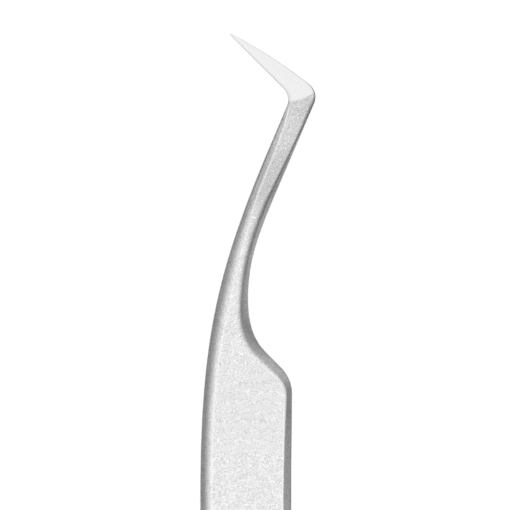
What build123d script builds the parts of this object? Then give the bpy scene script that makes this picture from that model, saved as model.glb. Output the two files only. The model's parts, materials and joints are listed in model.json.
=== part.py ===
from build123d import *
import os
from math import cos, radians, sin, tan

# Bent-tip tweezers: two flat sprung arms of stamped steel, spot-welded to a spacer at the heel.
# Millimetres. +Y runs from the heel to the tips, +Z is the way the arms open, X is across their
# flats, and the lower arm's grip rests on z = 0. "Behind" is a distance back from the very tip,
# and "height" is a distance up from the mid-plane between the arms. The lower arm is the upper
# arm's mirror image.

# Overall
overall_length = 124.0
grip_stack = 13.4  # outer face to outer face across the two grips
origin_behind = 62.0

# Side view of an arm: where it bends, and how thick it is there
heel_length = 14.0  # from the tail to the bend, where the spacer ends too
grip_rear_behind = 80.0
grip_front_behind = 44.0
foot_behind = 9.0
heel_thickness = 1.4
grip_thickness = 1.6
foot_thickness = 1.15
tip_thickness = 0.3
heel_bend_radius = 24.0
grip_bend_radius = 60.0

# Heel stack
spacer_thickness = 1.2
spacer_setback = 0.4  # the spacer's edge lies this far inside the arms' edge
nugget_radius = 0.95
nugget_spacing = 5.6
rear_nugget_setback = 4.6  # from the tail
dimple_depth = 0.12

# Flexing line of each arm, and the spring's travel
hinge_ahead = 6.0  # of the heel's bend
hinge_clearance = 0.03
hinge_end_share = 0.75  # radius of the arm's rounded rear end, as a share of its thickness
closing_angle = 2.2
closed_gap = 0.04  # left between the feet when they are closed

# Plan view: heel and grip
heel_width = 5.2
heel_parallel_length = 12.0
grip_width = 9.6
grip_taper_behind = 86.0
taper_corner_radius = 30.0
shoulder_angle = 44.0
shoulder_radius = 4.3

# Plan view: the neck sweeps over to one side, and leans at a steady angle up to the elbow
sweep_behind = 49.0
sweep_handle = 17.0
lean_angle = 23.2
lean_width = 2.52
lean_handle = 15.0
lean_behind = 11.0
waist_x = 0.25
waist_behind = 29.0
waist_handle = 4.0
waist_rear_handle = 1.0
outer_lean_behind = 15.0
outer_lean_handle = 9.0
slope_x = 1.9
slope_behind = 33.25
slope_handle = 1.5

# Plan view: elbow and tip
elbow_x = 4.79  # inner corner of the elbow, before it is rounded
elbow_behind = 6.55
tip_edge_angle = 45.0
tip_edge_radius = 52.0
tip_ahead = 0.47  # the sharp apex lies this far ahead of the rounded tip
tip_radius = 0.16
outer_elbow_behind = 6.15
inner_elbow_radius = 2.2
outer_elbow_radius = 1.7

# Bevels ground along the outer face's edges, as widths across the face
bevel_angle = 38.0
grip_bevel = 0.82
shoulder_bevel = 0.45
slope_bevel = 0.85
neck_bevel = 0.9
lean_bevel = 0.5
back_bevel = 0.5
bevel_reach = 2.0  # how far the cutter stands out past the edge
bevel_overlap = 0.5  # how far it stands above the face

mid_z = grip_stack / 2
tip_y = origin_behind
heel_bend_behind = overall_length - heel_length
heel_front_behind = overall_length - heel_parallel_length
hinge_behind = heel_bend_behind - hinge_ahead
cutter_size = 400.0


def plan(x, behind):
    """A point of the plan view."""
    return Vector(x, tip_y - behind)


def stretch(behind, behind_a, height_a, behind_b, height_b):
    """Height at a distance behind the tip, on the line through two known heights."""
    return height_a + (height_b - height_a) * (behind - behind_a) / (behind_b - behind_a)


def outer_rise():
    """Heights of the outer face at the heel and at the grip."""
    return spacer_thickness / 2 + heel_thickness, grip_stack / 2


def hinge_height():
    """Height of the flexing line: the middle of the sprung stretch's thickness there."""
    heel_height, grip_height = outer_rise()
    span = (heel_bend_behind, grip_rear_behind)
    outer = stretch(hinge_behind, span[0], heel_height, span[1], grip_height)
    inner = stretch(hinge_behind, span[0], spacer_thickness / 2, span[1], grip_height - grip_thickness)
    return (outer + inner) / 2


def foot_height(behind):
    """Height of the foot's inner face at rest. Closed, it lies flat on the other foot."""
    turn = radians(closing_angle)
    pivot = hinge_height()
    return pivot + (closed_gap / 2 - pivot + (hinge_behind - behind) * sin(turn)) / cos(turn)


def outer_heights():
    """Distance behind the tip and height of each bend of the outer face, from heel to tip."""
    heel_height, grip_height = outer_rise()
    ahead = -2 * tip_ahead
    foot = foot_height(foot_behind) + foot_thickness
    tip = foot_height(0) + tip_thickness
    return [
        (overall_length + 1, heel_height),
        (heel_bend_behind, heel_height),
        (grip_rear_behind, grip_height),
        (grip_front_behind, grip_height),
        (foot_behind, foot),
        (ahead, stretch(ahead, foot_behind, foot, 0, tip)),
    ]


def inner_heights():
    """The same for the inner face."""
    ahead = -2 * tip_ahead
    return [
        (overall_length + 1, spacer_thickness / 2),
        (heel_bend_behind, spacer_thickness / 2),
        (grip_rear_behind, grip_stack / 2 - grip_thickness),
        (grip_front_behind, grip_stack / 2 - grip_thickness),
        (foot_behind, foot_height(foot_behind)),
        (ahead, foot_height(ahead)),
    ]


def face_height(behind):
    """Height of the outer face, with its bends taken as sharp."""
    bends = outer_heights()
    for (behind_a, height_a), (behind_b, height_b) in zip(bends, bends[1:]):
        if behind >= behind_b:
            return stretch(behind, behind_a, height_a, behind_b, height_b)
    return bends[-1][1]


def lean_point(across, behind):
    """A point on the leaning stretch, this far across it from its inner edge."""
    lean = radians(lean_angle)
    return plan(elbow_x - (behind - elbow_behind) * tan(lean) + across / cos(lean), behind)


def plan_edges():
    """Named edges of the plan view, each running from the heel towards the tip."""
    lean = Vector(sin(radians(lean_angle)), cos(radians(lean_angle)))
    slope = Vector(-sin(radians(shoulder_angle)), cos(radians(shoulder_angle)))
    half_heel, half_grip = heel_width / 2, grip_width / 2
    heel_side = overall_length - half_heel
    sweep_start, sweep_end = plan(-half_grip, sweep_behind), lean_point(0, lean_behind)
    waist, slope_end = plan(waist_x, waist_behind), plan(slope_x, slope_behind)
    forward = Vector(0, 1)
    shoulder = slope_end - slope * ((half_grip - slope_x) / sin(radians(shoulder_angle)))
    shoulder_reach = shoulder_radius * tan(radians(shoulder_angle / 2))
    shoulder_start, shoulder_end = shoulder - forward * shoulder_reach, shoulder + slope * shoulder_reach
    lean_start = lean_point(lean_width, outer_lean_behind)
    outer_elbow = lean_point(lean_width, outer_elbow_behind)
    apex_x = elbow_x - (elbow_behind + tip_ahead) * tan(radians(tip_edge_angle))
    return {
        "left_heel": Line(plan(-half_heel, heel_side), plan(-half_heel, heel_front_behind)),
        "left_taper": Line(plan(-half_heel, heel_front_behind), plan(-half_grip, grip_taper_behind)),
        "left_grip": Line(plan(-half_grip, grip_taper_behind), sweep_start),
        "sweep": Bezier(sweep_start, sweep_start + forward * sweep_handle,
                        sweep_end - lean * lean_handle, sweep_end),
        "inner_lean": Line(sweep_end, plan(elbow_x, elbow_behind)),
        "inner_tip": Line(plan(elbow_x, elbow_behind), plan(apex_x, -tip_ahead)),
        "outer_tip": RadiusArc(plan(apex_x, -tip_ahead), outer_elbow, tip_edge_radius),
        "outer_lean": Line(lean_start, outer_elbow),
        "outer_neck": Bezier(waist, waist + forward * waist_handle,
                             lean_start - lean * outer_lean_handle, lean_start),
        "slope_foot": Bezier(slope_end, slope_end + slope * slope_handle,
                             waist - forward * waist_rear_handle, waist),
        "slope": Line(shoulder_end, slope_end),
        "shoulder": TangentArc(shoulder_start, shoulder_end, tangent=forward),
        "right_grip": Line(plan(half_grip, grip_taper_behind), shoulder_start),
        "right_taper": Line(plan(half_heel, heel_front_behind), plan(half_grip, grip_taper_behind)),
        "right_heel": Line(plan(half_heel, heel_side), plan(half_heel, heel_front_behind)),
        "tail": ThreePointArc(plan(half_heel, heel_side), plan(0, overall_length),
                              plan(-half_heel, heel_side)),
    }


def plan_face():
    """The arm's whole outline, with its corners rounded."""
    edges = plan_edges()
    face = make_face(Curve() + list(edges.values()))
    rounds = [
        (edges["inner_tip"] @ 0, inner_elbow_radius),
        (edges["inner_tip"] @ 1, tip_radius),
        (edges["outer_lean"] @ 1, outer_elbow_radius),
        (edges["left_grip"] @ 0, taper_corner_radius),
        (edges["right_grip"] @ 0, taper_corner_radius),
        (edges["left_taper"] @ 0, taper_corner_radius),
        (edges["right_taper"] @ 0, taper_corner_radius),
    ]
    for corner, radius in rounds:
        face = fillet(face.vertices().sort_by_distance(corner)[0], radius)
    return face


def side_slab():
    """The upper arm's side view, drawn out across its whole width."""
    radii = [heel_bend_radius, grip_bend_radius, grip_bend_radius, grip_bend_radius]
    corners = [
        [(0, tip_y - behind, mid_z + height) for behind, height in heights]
        for heights in (outer_heights(), inner_heights())
    ]
    outer, inner = (FilletPolyline(*points, radius=radii) for points in corners)
    ends = [Line(outer @ 0, inner @ 0), Line(outer @ 1, inner @ 1)]
    return extrude(make_face([outer, inner] + ends), amount=cutter_size / 2, dir=(1, 0, 0), both=True)


def bevel_section(edge, position, side, width):
    """Triangle across an edge, whose long side is the bevel. side is 1 for the elbow's side."""
    point, along = edge @ position, edge % position
    inward = Vector(-along.Y, along.X) * side
    face_z = mid_z + face_height(tip_y - point.Y)
    slant = inward * cos(radians(bevel_angle)) + Vector(0, 0, sin(radians(bevel_angle)))
    start = point + inward * width + Vector(0, 0, face_z)
    high = start + slant * bevel_overlap
    low = start - slant * bevel_reach
    return make_face(Polyline(high, low, Vector(low.X, low.Y, high.Z), close=True))


def bevel_cutter(stations, side):
    """Cutter that runs along one side, with its own width at each station."""
    sections = [bevel_section(edge, position, side, width) for edge, position, width in stations]
    return loft(sections, ruled=True)


def right_bevel(edges):
    """The wide bevel on the elbow's side, which runs out before the elbow."""
    grip, slope, foot = edges["right_grip"], edges["slope"], edges["slope_foot"]
    neck, lean = edges["outer_neck"], edges["outer_lean"]
    return bevel_cutter([
        (edges["right_taper"], 0.1, 0.0),
        (edges["right_taper"], 0.9, grip_bevel * 0.8),
        (grip, 0.1, grip_bevel),
        (grip, 0.9, grip_bevel),
        (edges["shoulder"], 0.0, shoulder_bevel),
        (edges["shoulder"], 0.5, (shoulder_bevel + slope_bevel) / 2),
        (slope, 0.0, slope_bevel),
        (slope, 1.0, neck_bevel),
        (foot, 0.5, neck_bevel),
        (foot, 1.0, neck_bevel),
        (neck, 0.3, neck_bevel),
        (neck, 0.6, (neck_bevel + lean_bevel) / 2),
        (neck, 1.0, lean_bevel),
        (lean, 0.75, 0.0),
    ], side=1)


def left_bevel(edges):
    """The narrower one on the other side, which runs out at the elbow's inner corner."""
    sweep = edges["sweep"]
    return bevel_cutter([
        (edges["left_taper"], 0.1, 0.0),
        (edges["left_taper"], 0.9, back_bevel),
        (edges["left_grip"], 0.1, back_bevel),
        (sweep, 0.0, back_bevel),
        (sweep, 0.2, back_bevel),
        (sweep, 0.4, back_bevel),
        (sweep, 0.6, back_bevel),
        (sweep, 0.8, back_bevel * 0.8),
        (sweep, 1.0, back_bevel * 0.4),
        (edges["inner_lean"], 0.6, 0.0),
    ], side=-1)


def upper_blank():
    """The whole upper arm, from tail to tip, before it is parted at its flexing line."""
    edges = plan_edges()
    blank = extrude(plan_face(), amount=2 * grip_stack) & side_slab()
    return blank - right_bevel(edges) - left_bevel(edges)


def hinge_rod(radius):
    """Rod along the upper arm's flexing line."""
    centre = (0, tip_y - hinge_behind, mid_z + hinge_height())
    return Pos(*centre) * Rot(0, 90, 0) * Cylinder(radius, cutter_size)


def hinge_block(towards_tip):
    """Everything on one side of the flexing line."""
    direction = 1 if towards_tip else -1
    centre = (0, tip_y - hinge_behind + direction * cutter_size / 2, mid_z)
    return Pos(*centre) * Box(cutter_size, cutter_size, cutter_size)


def hinge_end_radius():
    """Radius of the arm's rounded rear end."""
    return hinge_end_share * heel_thickness


def nugget_places():
    """Plan positions of the spot welds."""
    rear = overall_length - rear_nugget_setback
    return [plan(0, rear - i * nugget_spacing) for i in range(2)]


def nugget_rods(height):
    """A rod at each spot weld, half above and half below the mid-plane."""
    return [Pos(p.X, p.Y, mid_z) * Cylinder(nugget_radius, height) for p in nugget_places()]


def arm_part(blank):
    """The moving arm: all that is ahead of the flexing line, with a rounded rear end."""
    return blank - (hinge_block(towards_tip=False) - hinge_rod(hinge_end_radius()))


def heel_part(blank):
    """The fixed heel: all that is behind, hollowed to seat the arm's rounded end."""
    seat = hinge_rod(hinge_end_radius() + hinge_clearance)
    stack = spacer_thickness + 4 * heel_thickness
    return blank - hinge_block(towards_tip=True) - seat - nugget_rods(stack)


def spacer_part():
    """The flat piece between the arms' heels, a little smaller than they are."""
    outline = offset(plan_face(), -spacer_setback, kind=Kind.INTERSECTION)
    front = Pos(0, tip_y - heel_bend_behind + cutter_size / 2, 0) * Rectangle(cutter_size, cutter_size)
    plate = extrude(outline - front, amount=spacer_thickness / 2, both=True)
    return Pos(0, 0, mid_z) * plate - nugget_rods(2 * spacer_thickness)


def nugget_part():
    """The spot welds: rods of fused metal through the stack, dished at both ends."""
    stack = spacer_thickness + 2 * heel_thickness
    return Compound(children=[Solid(rod.wrapped) for rod in nugget_rods(stack - 2 * dimple_depth)])


def other_arm(shape):
    """The mirror image on the lower arm."""
    return mirror(shape, about=Plane.XY.offset(mid_z))


def main():
    """Write one STEP file for each piece."""
    blank = upper_blank()
    upper_arm, upper_heel = arm_part(blank), heel_part(blank)
    pieces = {
        "upper_arm": upper_arm,
        "lower_arm": other_arm(upper_arm),
        "upper_heel": upper_heel,
        "lower_heel": other_arm(upper_heel),
        "heel_spacer": spacer_part(),
        "weld_nuggets": nugget_part(),
    }
    os.makedirs("parts", exist_ok=True)
    for name, shape in pieces.items():
        export_step(shape, f"parts/{name}.step")


main()
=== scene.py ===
import json
from math import atan2, cos, hypot, pi, radians, sin, sqrt, tan

import bmesh
import bpy
import numpy as np
from mathutils import Matrix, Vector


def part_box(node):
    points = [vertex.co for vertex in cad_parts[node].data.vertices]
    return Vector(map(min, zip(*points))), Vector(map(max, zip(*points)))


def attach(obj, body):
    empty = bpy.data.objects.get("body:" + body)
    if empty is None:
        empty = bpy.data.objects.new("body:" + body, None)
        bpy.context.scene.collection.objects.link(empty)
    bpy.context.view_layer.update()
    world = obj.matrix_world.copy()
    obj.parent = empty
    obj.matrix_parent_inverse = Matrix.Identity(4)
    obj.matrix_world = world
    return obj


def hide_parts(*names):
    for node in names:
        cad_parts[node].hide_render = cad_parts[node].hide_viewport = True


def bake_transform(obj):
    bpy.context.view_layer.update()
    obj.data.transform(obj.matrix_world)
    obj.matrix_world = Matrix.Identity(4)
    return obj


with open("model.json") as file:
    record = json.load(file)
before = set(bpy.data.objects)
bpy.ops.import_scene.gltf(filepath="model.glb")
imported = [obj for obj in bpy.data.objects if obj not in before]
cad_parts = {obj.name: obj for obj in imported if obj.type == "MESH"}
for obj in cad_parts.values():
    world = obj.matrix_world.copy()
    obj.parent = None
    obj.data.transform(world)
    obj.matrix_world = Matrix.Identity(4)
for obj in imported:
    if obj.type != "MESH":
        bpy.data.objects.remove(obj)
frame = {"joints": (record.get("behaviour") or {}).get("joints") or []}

bl_info = {
    "name": "Bent-tip tweezers",
    "version": (1, 0, 0),
    "blender": (4, 5, 0),
    "location": "3D View > Sidebar > Tweezers",
    "description": "Builds the strips, spacer and spot welds of bent-tip tweezers on their CAD frame",
    "category": "Add Mesh",
}

MM = 0.001

# Allowances and small shares.
CLOSED_GAP = 0.02 * MM
PAST_END = 1 * MM
MERGE = 1e-7
SHARP_CORNER = radians(42)
MOST_OF_RIB = 0.46
MOST_OF_THICKNESS = 0.6
MOST_OF_PALM = 0.2

# What the frame settles. "Behind" is a distance back from the very tip, and "height" is a distance
# up from the mid-plane between the two strips.
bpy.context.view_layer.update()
ARM_LOW, ARM_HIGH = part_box("upper_arm")
HEEL_LOW, HEEL_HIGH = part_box("upper_heel")
SPACER_LOW, SPACER_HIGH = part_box("heel_spacer")
WELD_LOW, WELD_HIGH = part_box("weld_nuggets")
FLEX = frame["joints"][0]
TABLE_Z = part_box("lower_arm")[0].z
TIP_Y = ARM_HIGH.y
MID_Z = (SPACER_LOW.z + SPACER_HIGH.z) / 2
LENGTH = ARM_HIGH.y - HEEL_LOW.y
GRIP_HALF = -ARM_LOW.x
GRIP_HEIGHT = ARM_HIGH.z - MID_Z
HEEL_HEIGHT = HEEL_HIGH.z - MID_Z
SPACER_HALF = SPACER_HIGH.z - MID_Z
SPACER_FRONT = TIP_Y - SPACER_HIGH.y
HINGE_BEHIND = TIP_Y - FLEX["pos_m"][1]
HINGE_HEIGHT = FLEX["pos_m"][2] - MID_Z
CLOSING = radians(FLEX["range_deg"][1])
WELD_RADIUS = (WELD_HIGH.x - WELD_LOW.x) / 2
WELD_PLACES = (WELD_LOW.y + WELD_RADIUS, WELD_HIGH.y - WELD_RADIUS)

# Where a strip's ribs meet its inner and its outer edge, in mm behind the tip, and the spacing of
# the ribs from there on. They fan round the elbow, so that each rib crosses the strip squarely.
RIB_STOPS = (
    (121.4, 121.4, 0.7),
    (112.0, 112.0, 0.7),
    (50.0, 50.0, 0.5),
    (40.0, 40.0, 0.3),
    (28.0, 29.0, 0.3),
    (14.0, 15.0, 0.2),
    (7.96, 8.95, 0.09),
    (6.68, 6.68, 0.09),
    (5.5, 4.0, 0.12),
    (0.3, 0.22, 0.0),
)

# Ground and worn edges of a strip's outer face: mm behind the tip, width in mm, tilt in degrees,
# softness of the arris in mm, radius of the fine round on the rim in mm, and how rubbed the arris is,
# which sets its wear and its painted highlight together.
INNER_EDGE = (
    (0.0, 0.06, 8, 0.06, 0.015, 0.1),
    (2.0, 0.25, 9, 0.25, 0.015, 0.1),
    (6.0, 0.32, 10, 0.32, 0.02, 0.1),
    (7.4, 0.20, 14, 0.10, 0.03, 0.5),
    (8.3, 0.30, 17, 0.05, 0.08, 1.0),
    (9.1, 0.47, 17, 0.04, 0.12, 1.0),
    (11.2, 0.64, 17, 0.05, 0.17, 1.0),
    (16.5, 0.70, 18, 0.07, 0.18, 1.0),
    (19.6, 0.66, 29, 0.36, 0.10, 0.5),
    (22.8, 0.72, 31, 0.50, 0.07, 0.5),
    (26.0, 0.79, 32, 0.54, 0.06, 0.6),
    (30.0, 0.80, 33, 0.54, 0.06, 0.8),
    (36.0, 0.74, 35, 0.48, 0.06, 1.0),
    (86.0, 0.74, 35, 0.48, 0.06, 1.0),
    (112.0, 0.36, 35, 0.20, 0.06, 1.0),
)
OUTER_EDGE = (
    (0.0, 0.02, 24, 0.01, 0.015, 0.1),
    (5.0, 0.04, 24, 0.02, 0.015, 0.1),
    (6.0, 0.10, 34, 0.08, 0.03, 0.1),
    (7.2, 0.24, 32, 0.18, 0.03, 0.1),
    (8.0, 0.25, 32, 0.16, 0.03, 0.1),
    (11.2, 0.27, 37, 0.10, 0.03, 0.1),
    (13.3, 0.35, 39, 0.10, 0.03, 0.1),
    (14.9, 0.44, 39, 0.11, 0.03, 0.1),
    (16.5, 0.52, 40, 0.14, 0.03, 0.1),
    (18.0, 0.60, 41, 0.22, 0.03, 0.1),
    (21.2, 0.65, 43, 0.30, 0.03, 0.1),
    (24.4, 0.67, 43, 0.31, 0.03, 0.1),
    (27.5, 0.76, 43, 0.28, 0.03, 0.1),
    (29.5, 0.94, 42, 0.27, 0.03, 0.1),
    (31.0, 1.08, 34, 0.26, 0.03, 0.1),
    (32.2, 1.20, 26, 0.28, 0.03, 0.1),
    (34.0, 1.06, 20, 0.20, 0.03, 0.3),
    (36.0, 0.92, 20, 0.14, 0.03, 0.4),
    (37.2, 0.72, 29, 0.15, 0.03, 0.4),
    (38.3, 0.61, 38, 0.14, 0.03, 0.4),
    (42.0, 0.75, 29, 0.06, 0.03, 0.6),
    (49.0, 0.85, 27, 0.04, 0.03, 0.6),
    (86.0, 0.85, 27, 0.04, 0.03, 0.6),
    (112.0, 0.45, 30, 0.04, 0.03, 1.0),
    (125.0, 0.40, 34, 0.04, 0.03, 1.0),
)
# How much further the softness of each edge's arris reaches into the face than into the bevel.
FACE_REACH = (1, 2)
# How far the neck's face falls away towards its outer edge: mm behind the tip, and fall in mm.
NECK_FALL = (
    (0.0, 0.0),
    (6.5, 0.03),
    (8.0, 0.22),
    (12.0, 0.27),
    (18.0, 0.24),
    (22.0, 0.08),
    (26.0, 0.0),
)
# How much darker the neck is, as painted shade: mm behind the tip, and share of the shade.
NECK_PAINTED_SHADE = (
    (0.0, 0.0),
    (7.0, 0.85),
    (8.0, 0.80),
    (9.1, 0.60),
    (11.2, 0.46),
    (13.3, 0.90),
    (16.5, 1.0),
    (19.6, 0.35),
    (23.0, 0.0),
)
# Half of a weld's profile: share of its radius, and depth below the strip's face in mm.
WELD_PROFILE = (
    (0.00, 0.135),
    (0.20, 0.135),
    (0.42, 0.130),
    (0.58, 0.118),
    (0.72, 0.086),
    (0.82, 0.044),
    (0.89, 0.020),
    (0.94, 0.014),
    (0.975, 0.022),
    (0.993, 0.045),
    (1.00, 0.080),
)
WELD_CREST = 0.94
WELD_SEGMENTS = 64
SPACER_EDGE = 0.07 * MM
SPACER_STEPS = np.linspace(0, pi / 2, 5)

# Steps of a strip's section, and of its ribs at the tail and the tip.
RIM_STEPS = np.array((0.0, 0.05, 0.2, 0.5, 1.0))
FACET_STEPS = np.linspace(0, 1, 5)[1:]
ARRIS_STEPS = np.linspace(0, 1, 7)[1:]
ROUND_STEPS = 1 - np.cos(np.linspace(0, pi / 2, 5))
TAIL_STEPS = 1 - np.cos(np.linspace(0, pi / 2, 23))
TIP_STEPS = 1 - np.cos(np.linspace(pi / 2, 0, 13))
RIB_SAMPLES = np.linspace(0, 1, 201)
MIDDLE_COLUMNS = 7
PALM_COLUMNS = 6
WALL_COLUMNS = 3

# Finishes: unevenness of the grain; width in mm, breaks and share of the rubbed line along an arris,
# which is wear and a painted highlight; spacing in mm and stretch of the fine lines; and the range of each
# roughness.
ARM_CLOUD, SPACER_CLOUD, WELD_CLOUD = 0.12, 0.5, 0.8
ARM_RUB_AND_HIGHLIGHT, SPACER_RUB, WELD_RUB = (0.15, 0.6, 0.34), (0.05, 0.4, 0.6), (0.08, 0.6, 0.8)
POLISH_LINES, ROLLING_LINES = (0.06, 12.0), (0.05, 30.0)
SPACER_ROUGHNESS, WELD_ROUGHNESS = (0.30, 0.40), (0.36, 0.28)
BLASTED_SPREAD = (0.05, -0.03)
POLISHED_SPREAD = (-0.02, 0.03)
RUBBED_SMOOTHER = 0.06
SPACER_PITS = 0.82
SPACER_GRAIN, WELD_GRAIN = 2.0, 1.5
ROLLING_DEPTH = 0.5
# The polish's border in mm: how ragged the grain makes it, and where it begins and ends.
BORDER_RAGGED = 0.08
BORDER_BLEND = (-0.14, 0.12)
# The heat's ring round a weld, in radii of the weld, and how much of it shows.
HEAT_REACH = (0.9, 1.9)
HEAT_SHARE = 0.45

# The stage: the floor's colour to the light, its glow and shading to the eye, and the camera's sensor.
FLOOR_COLOUR = (0.9, 0.9, 0.9, 1.0)
FLOOR_SHADING = (0.14, 0.14, 0.14, 1.0)
FLOOR_GLOW = 0.94
WHITE = (1.0, 1.0, 1.0, 1.0)
SENSOR = 36.0
NEAR, FAR = 0.05, 20.0


def length(name, description, millimetres):
    """A length that the user can change, in metres."""
    return bpy.props.FloatProperty(name=name, description=description, default=millimetres * MM,
                                   unit="LENGTH", precision=5)


def angle(name, description, degrees):
    """An angle that the user can change, in radians."""
    return bpy.props.FloatProperty(name=name, description=description, default=radians(degrees),
                                   unit="ROTATION")


def share(name, description, value, high=1.0):
    """A plain number that the user can change."""
    return bpy.props.FloatProperty(name=name, description=description, default=value, min=0.0,
                                   max=high, precision=3)


def tint(name, description, red, green, blue):
    """A colour that the user can change."""
    return bpy.props.FloatVectorProperty(name=name, description=description, subtype="COLOR", size=3,
                                         min=0.0, max=1.0, default=(red, green, blue))


class StripSizes(bpy.types.PropertyGroup):
    """Sizes of one strip: its plan, its thickness and its bends."""
    heel_width: length("Heel width", "Width across the heel", 5.2)
    heel_parallel: length("Heel parallel", "Length of the heel's parallel sides and tail", 12.0)
    grip_taper: length("Grip taper", "Where the taper reaches the grip, behind the tip", 86.0)
    grip_rear: length("Grip rear", "Where the grip's flat begins, behind the tip", 80.0)
    grip_front: length("Grip front", "Where the grip's flat ends, behind the tip", 44.0)
    grip_thickness: length("Grip thickness", "Thickness of the strip at the grip", 1.6)
    foot: length("Foot", "Length of the feet that meet when the tweezers close", 9.0)
    foot_thickness: length("Foot thickness", "Thickness of the strip at the back of the foot", 1.15)
    tip_thickness: length("Tip thickness", "Thickness of the strip at the very tip", 0.3)
    heel_bend: length("Heel bend", "Radius of the bend at the heel", 24.0)
    grip_bend: length("Grip bends", "Radius of the bends at the grip and the foot", 60.0)
    taper_corner: length("Taper corners", "Radius of the taper's corners in plan", 30.0)
    sweep: length("Sweep", "Where the neck begins to sweep over, behind the tip", 49.0)
    sweep_handle: length("Sweep handle", "How slowly the sweep leaves the grip", 17.0)
    lean: angle("Lean", "Lean of the neck below the elbow", 23.2)
    lean_width: length("Neck width", "Width of the leaning neck", 2.54)
    lean_behind: length("Inner lean", "Where the inner edge leans straight from, behind the tip", 11.0)
    lean_handle: length("Inner lean handle", "How slowly the sweep joins the lean", 15.0)
    outer_lean_behind: length("Outer lean", "Where the outer edge leans straight from", 15.0)
    outer_lean_handle: length("Outer lean handle", "How slowly the waist joins the lean", 6.0)
    waist_x: length("Waist", "How far the waist lies from the grip's centreline", 0.264)
    waist_behind: length("Waist place", "Where the waist lies, behind the tip", 27.8)
    waist_handle: length("Waist handle", "How long the waist stays straight towards the elbow", 4.2)
    waist_rear_handle: length("Waist rear handle", "How long it stays straight towards the grip", 1.7)
    slope_x: length("Slope foot", "How far the slope's foot lies from the centreline", 2.05)
    slope_behind: length("Slope foot place", "Where the slope's foot lies, behind the tip", 33.47)
    slope_handle: length("Slope handle", "How slowly the slope turns into the waist", 2.3)
    shoulder: angle("Shoulder", "Turn of the edge at the grip's shoulder", 44.6)
    shoulder_radius: length("Shoulder radius", "Radius of the shoulder's corner", 3.9)
    flare: length("Flare", "How far the grip flares out to the shoulder's corner", 0.11)
    flare_behind: length("Flare place", "Where the flare begins, behind the tip", 46.0)
    elbow_x: length("Elbow", "How far the elbow's inner corner lies from the centreline", 4.811)
    elbow_behind: length("Elbow place", "Where the elbow's inner corner lies, behind the tip", 6.5)
    outer_elbow_behind: length("Outer elbow place", "Where the elbow's outer corner lies", 6.15)
    inner_elbow_radius: length("Inner elbow radius", "Radius inside the elbow", 1.7)
    outer_elbow_radius: length("Outer elbow radius", "Radius outside the elbow", 1.7)
    tip_edge: angle("Tip edge", "Slant of the tip's straight edge", 45.0)
    tip_edge_radius: length("Tip edge radius", "Radius of the tip's bowed edge", 52.0)
    tip_ahead: length("Tip apex", "How far the sharp apex lay ahead of the tip before it was rounded", 0.16)
    tip_radius: length("Tip radius", "Radius of the tip's end in plan", 0.055)
    burr_radius: length("Inner rounds", "Radius of the rounds along the inner face", 0.12)
    tip_burr_radius: length("Tip inner rounds", "Radius of those rounds at the tips", 0.03)
    polish_reach: length("Polish", "How far behind the tip the polish reaches", 7.1)
    polish_corner: length("Polish corner", "Where the polish's border starts to curve, across", 4.45)
    polish_radius: length("Polish radius", "Radius of the polish's curved border", 4.1)


class SteelFinish(bpy.types.PropertyGroup):
    """Colours and roughness of the steel."""
    blasted: tint("Blasted steel", "Colour of the bead-blasted steel", 1.0, 1.0, 1.0)
    pits: tint("Blasted pits", "Colour in the pits of the blasted steel", 0.56, 0.56, 0.56)
    blasted_roughness: share("Blasted roughness", "Roughness of the blasted steel", 0.38)
    # Painted shade: the colour that darkens the neck's face, standing in for shade and not for a finish of
    # its own.
    neck: tint("Neck steel", "Colour that the hand-finished neck is darkened by", 0.76, 0.76, 0.76)
    polished: tint("Polished steel", "Colour of the polished tips", 0.656, 0.658, 0.658)
    polished_roughness: share("Polished roughness", "Roughness of the polished tips", 0.18)
    # Colour of the rubbed arrises: wear, and a painted highlight along the edges.
    arris: tint("Worn and highlit arris", "Colour of the rubbed arrises", 0.98, 0.98, 0.98)
    blanked: tint("Blanked steel", "Colour of the spacer's plain steel", 0.62, 0.62, 0.63)
    weld: tint("Weld steel", "Colour of the fused steel", 0.58, 0.57, 0.55)
    straw: tint("Heat tint", "Colour of the ring that the welds' heat leaves", 0.60, 0.50, 0.38)
    grain: length("Grain", "Size of the blasting's grain", 0.055)
    grain_depth: length("Grain depth", "Depth of the blasting's grain", 0.003)


class StudioSettings(bpy.types.PropertyGroup):
    """Camera and soft light."""
    view_width: length("View width", "Width of the camera's view at the grip", 53.68)
    view_distance: length("View distance", "Height of the camera above the grip", 2400.0)
    view_x: length("View centre", "Where the view's centre lies, across the strips", 0.977)
    view_behind: length("View place", "Where the view's centre lies, behind the tip", 23.3)
    dome_top: share("Dome overhead", "Brightness of the dome overhead", 1.385, 4.0)
    dome_rim: share("Dome rim", "Brightness of the dome at the horizon", 0.04, 4.0)
    dome_focus: share("Dome focus", "How fast the dome dims away from overhead", 2.7, 10.0)
    floor_size: length("Floor size", "Side of the white floor", 12000.0)


# ---- Plan of a strip


def point(x, behind):
    """A point of the plan."""
    return np.array((x, TIP_Y - behind))


def line(start, end):
    """A straight edge."""
    return np.array((start, end))


def curve(start, handle, end_handle, end, steps=48):
    """A Bezier edge, from its end points and the vectors of its two handles."""
    t = np.linspace(0, 1, steps + 1)[:, None]
    near, far = start + handle, end - end_handle
    return (1 - t) ** 3 * start + 3 * (1 - t) ** 2 * t * near + 3 * (1 - t) * t * t * far + t ** 3 * end


def arc(centre, radius, first, last, steps=28):
    """An arc about a centre, from one angle to another."""
    angles = np.linspace(first, last, steps + 1)
    return centre + radius * np.stack((np.cos(angles), np.sin(angles)), axis=1)


def heading(vector):
    """The angle that a vector points at."""
    return atan2(vector[1], vector[0])


def unit(vector):
    """The vector's direction."""
    return vector / hypot(*vector)


def quarter_turn(vector):
    """The vector turned a quarter to the left."""
    return np.array((-vector[1], vector[0]))


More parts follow.
